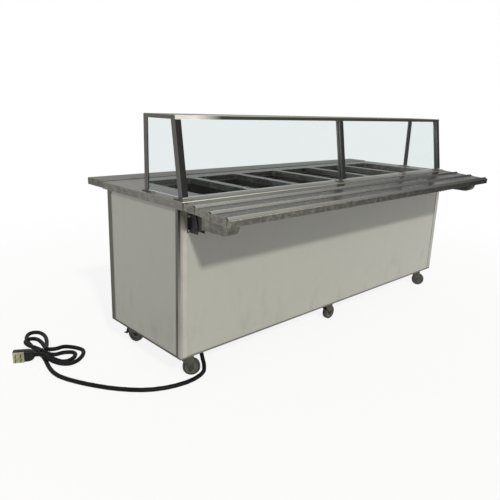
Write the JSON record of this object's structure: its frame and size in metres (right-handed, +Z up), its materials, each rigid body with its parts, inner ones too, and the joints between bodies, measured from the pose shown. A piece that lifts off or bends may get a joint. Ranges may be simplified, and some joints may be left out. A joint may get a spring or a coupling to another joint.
{
  "type": "mobile hot-food serving counter",
  "caption": "Mobile hot-food serving counter with heated wells, a glazed breath guard, a fold-down tray slide and work shelf, on swivel casters.",
  "frame": {"origin": "on the floor under the middle of the counter with its tray slide and work shelf up, the mains lead left out", "axes": "+X along the counter from the lead's end to the other, +Y from the customers' side to the operator's, +Z up"},
  "size_m": [2.9835, 1.3739, 1.284],
  "materials": {
    "stainless": "brushed stainless steel",
    "laminate": "pale grey laminate on board",
    "black_steel": "satin black",
    "zinc_steel": "dull zinc plate",
    "tyre": "dark grey rubber",
    "clear_glass": "clear, slightly green",
    "cord_rubber": "matt black",
    "black_plastic": "matt black",
    "red_lens": "clear red",
    "cast_element": "as cast"
  },
  "bodies": {
    "chassis": {"base_frame": "stainless", "corner_posts": "stainless", "front_panel": "laminate", "left_end_panel": "laminate", "right_end_panel": "laminate", "deck": "stainless", "mid_support": "laminate", "heat_shield": "stainless", "countertop": "stainless", "well_1": "stainless", "well_2": "stainless", "well_3": "stainless", "well_4": "stainless", "well_5": "stainless", "well_6": "stainless", "heating_elements": "cast_element", "control_panel": "stainless", "heat_controls": "black_plastic", "pilot_lights": "red_lens", "guard_front_posts": "stainless", "guard_rear_posts": "stainless", "guard_shelf": "stainless", "front_glass_left": "clear_glass", "front_glass_right": "clear_glass", "end_glass": "clear_glass", "tray_brackets": "black_steel", "shelf_brackets": "black_steel", "caster_plates": "zinc_steel", "fasteners": "zinc_steel", "strain_relief": "black_plastic", "junction_box": "black_plastic", "cord_run": "cord_rubber", "cord_hank": "cord_rubber", "cord_tie": "black_plastic", "plug": "black_plastic"},
    "tray": {"tray_slide": "stainless", "tray_arms": "stainless", "tray_arm_roots": "black_steel"},
    "shelf": {"work_shelf": "stainless", "shelf_arms": "stainless"},
    "fork_front_left": {"caster_fork_front_left": "zinc_steel"},
    "wheel_front_left": {"caster_wheel_front_left": "tyre"},
    "fork_front_middle": {"caster_fork_front_middle": "zinc_steel"},
    "wheel_front_middle": {"caster_wheel_front_middle": "tyre"},
    "fork_front_right": {"caster_fork_front_right": "zinc_steel"},
    "wheel_front_right": {"caster_wheel_front_right": "tyre"},
    "fork_rear_left": {"caster_fork_rear_left": "zinc_steel"},
    "wheel_rear_left": {"caster_wheel_rear_left": "tyre"},
    "brake_rear_left": {"brake_lever_rear_left": "black_steel"},
    "fork_rear_middle": {"caster_fork_rear_middle": "zinc_steel"},
    "wheel_rear_middle": {"caster_wheel_rear_middle": "tyre"},
    "fork_rear_right": {"caster_fork_rear_right": "zinc_steel"},
    "wheel_rear_right": {"caster_wheel_rear_right": "tyre"},
    "brake_rear_right": {"brake_lever_rear_right": "black_steel"},
    "knob_body_1": {"knob_1": "black_plastic"},
    "knob_body_2": {"knob_2": "black_plastic"},
    "knob_body_3": {"knob_3": "black_plastic"},
    "knob_body_4": {"knob_4": "black_plastic"},
    "knob_body_5": {"knob_5": "black_plastic"},
    "knob_body_6": {"knob_6": "black_plastic"}
  },
  "joints": [
    {"name": "tray_fold", "type": "hinge", "parent": "chassis", "child": "tray", "pos_m": [0, -0.30538, 0.785], "axis": [1, 0, 0], "range_deg": [0, 90]},
    {"name": "shelf_fold", "type": "hinge", "parent": "chassis", "child": "shelf", "pos_m": [0, 0.44262, 0.785], "axis": [-1, 0, 0], "range_deg": [0, 90]},
    {"name": "swivel_front_left", "type": "hinge", "parent": "chassis", "child": "fork_front_left", "pos_m": [-1.132, -0.19138, 0.1101], "axis": [0, 0, 1], "continuous": true},
    {"name": "spin_front_left", "type": "hinge", "parent": "fork_front_left", "child": "wheel_front_left", "pos_m": [-1.11152, -0.20572, 0.045], "axis": [0.5736, 0.8192, 0], "continuous": true},
    {"name": "swivel_front_middle", "type": "hinge", "parent": "chassis", "child": "fork_front_middle", "pos_m": [0, -0.19138, 0.1101], "axis": [0, 0, 1], "continuous": true},
    {"name": "spin_front_middle", "type": "hinge", "parent": "fork_front_middle", "child": "wheel_front_middle", "pos_m": [0.025, -0.19138, 0.045], "axis": [0, 1, 0], "continuous": true},
    {"name": "swivel_front_right", "type": "hinge", "parent": "chassis", "child": "fork_front_right", "pos_m": [1.132, -0.19138, 0.1101], "axis": [0, 0, 1], "continuous": true},
    {"name": "spin_front_right", "type": "hinge", "parent": "fork_front_right", "child": "wheel_front_right", "pos_m": [1.14335, -0.21366, 0.045], "axis": [0.891, 0.454, 0], "continuous": true},
    {"name": "swivel_rear_left", "type": "hinge", "parent": "chassis", "child": "fork_rear_left", "pos_m": [-1.132, 0.32862, 0.1101], "axis": [0, 0, 1], "continuous": true},
    {"name": "spin_rear_left", "type": "hinge", "parent": "fork_rear_left", "child": "wheel_rear_left", "pos_m": [-1.12304, 0.30528, 0.045], "axis": [0.9336, 0.3584, 0], "continuous": true},
    {"name": "brake_rear_left", "type": "hinge", "parent": "fork_rear_left", "child": "brake_rear_left", "pos_m": [-1.13845, 0.34542, 0.097], "axis": [-0.9336, -0.3584, 0], "range_deg": [0, 8]},
    {"name": "swivel_rear_middle", "type": "hinge", "parent": "chassis", "child": "fork_rear_middle", "pos_m": [0, 0.32862, 0.1101], "axis": [0, 0, 1], "continuous": true},
    {"name": "spin_rear_middle", "type": "hinge", "parent": "fork_rear_middle", "child": "wheel_rear_middle", "pos_m": [0.02349, 0.33717, 0.045], "axis": [-0.342, 0.9397, 0], "continuous": true},
    {"name": "swivel_rear_right", "type": "hinge", "parent": "chassis", "child": "fork_rear_right", "pos_m": [1.132, 0.32862, 0.1101], "axis": [0, 0, 1], "continuous": true},
    {"name": "spin_rear_right", "type": "hinge", "parent": "fork_rear_right", "child": "wheel_rear_right", "pos_m": [1.15365, 0.31612, 0.045], "axis": [0.5, 0.866, 0], "continuous": true},
    {"name": "brake_rear_right", "type": "hinge", "parent": "fork_rear_right", "child": "brake_rear_right", "pos_m": [1.11641, 0.33762, 0.097], "axis": [-0.5, -0.866, 0], "range_deg": [0, 8]},
    {"name": "knob_turn_1", "type": "hinge", "parent": "chassis", "child": "knob_body_1", "pos_m": [-0.8765, 0.39612, 0.8], "axis": [0, -1, 0], "range_deg": [0, 270]},
    {"name": "knob_turn_2", "type": "hinge", "parent": "chassis", "child": "knob_body_2", "pos_m": [-0.5195, 0.39612, 0.8], "axis": [0, -1, 0], "range_deg": [0, 270]},
    {"name": "knob_turn_3", "type": "hinge", "parent": "chassis", "child": "knob_body_3", "pos_m": [-0.1625, 0.39612, 0.8], "axis": [0, -1, 0], "range_deg": [0, 270]},
    {"name": "knob_turn_4", "type": "hinge", "parent": "chassis", "child": "knob_body_4", "pos_m": [0.1945, 0.39612, 0.8], "axis": [0, -1, 0], "range_deg": [0, 270]},
    {"name": "knob_turn_5", "type": "hinge", "parent": "chassis", "child": "knob_body_5", "pos_m": [0.5515, 0.39612, 0.8], "axis": [0, -1, 0], "range_deg": [0, 270]},
    {"name": "knob_turn_6", "type": "hinge", "parent": "chassis", "child": "knob_body_6", "pos_m": [0.9085, 0.39612, 0.8], "axis": [0, -1, 0], "range_deg": [0, 270]}
  ]
}
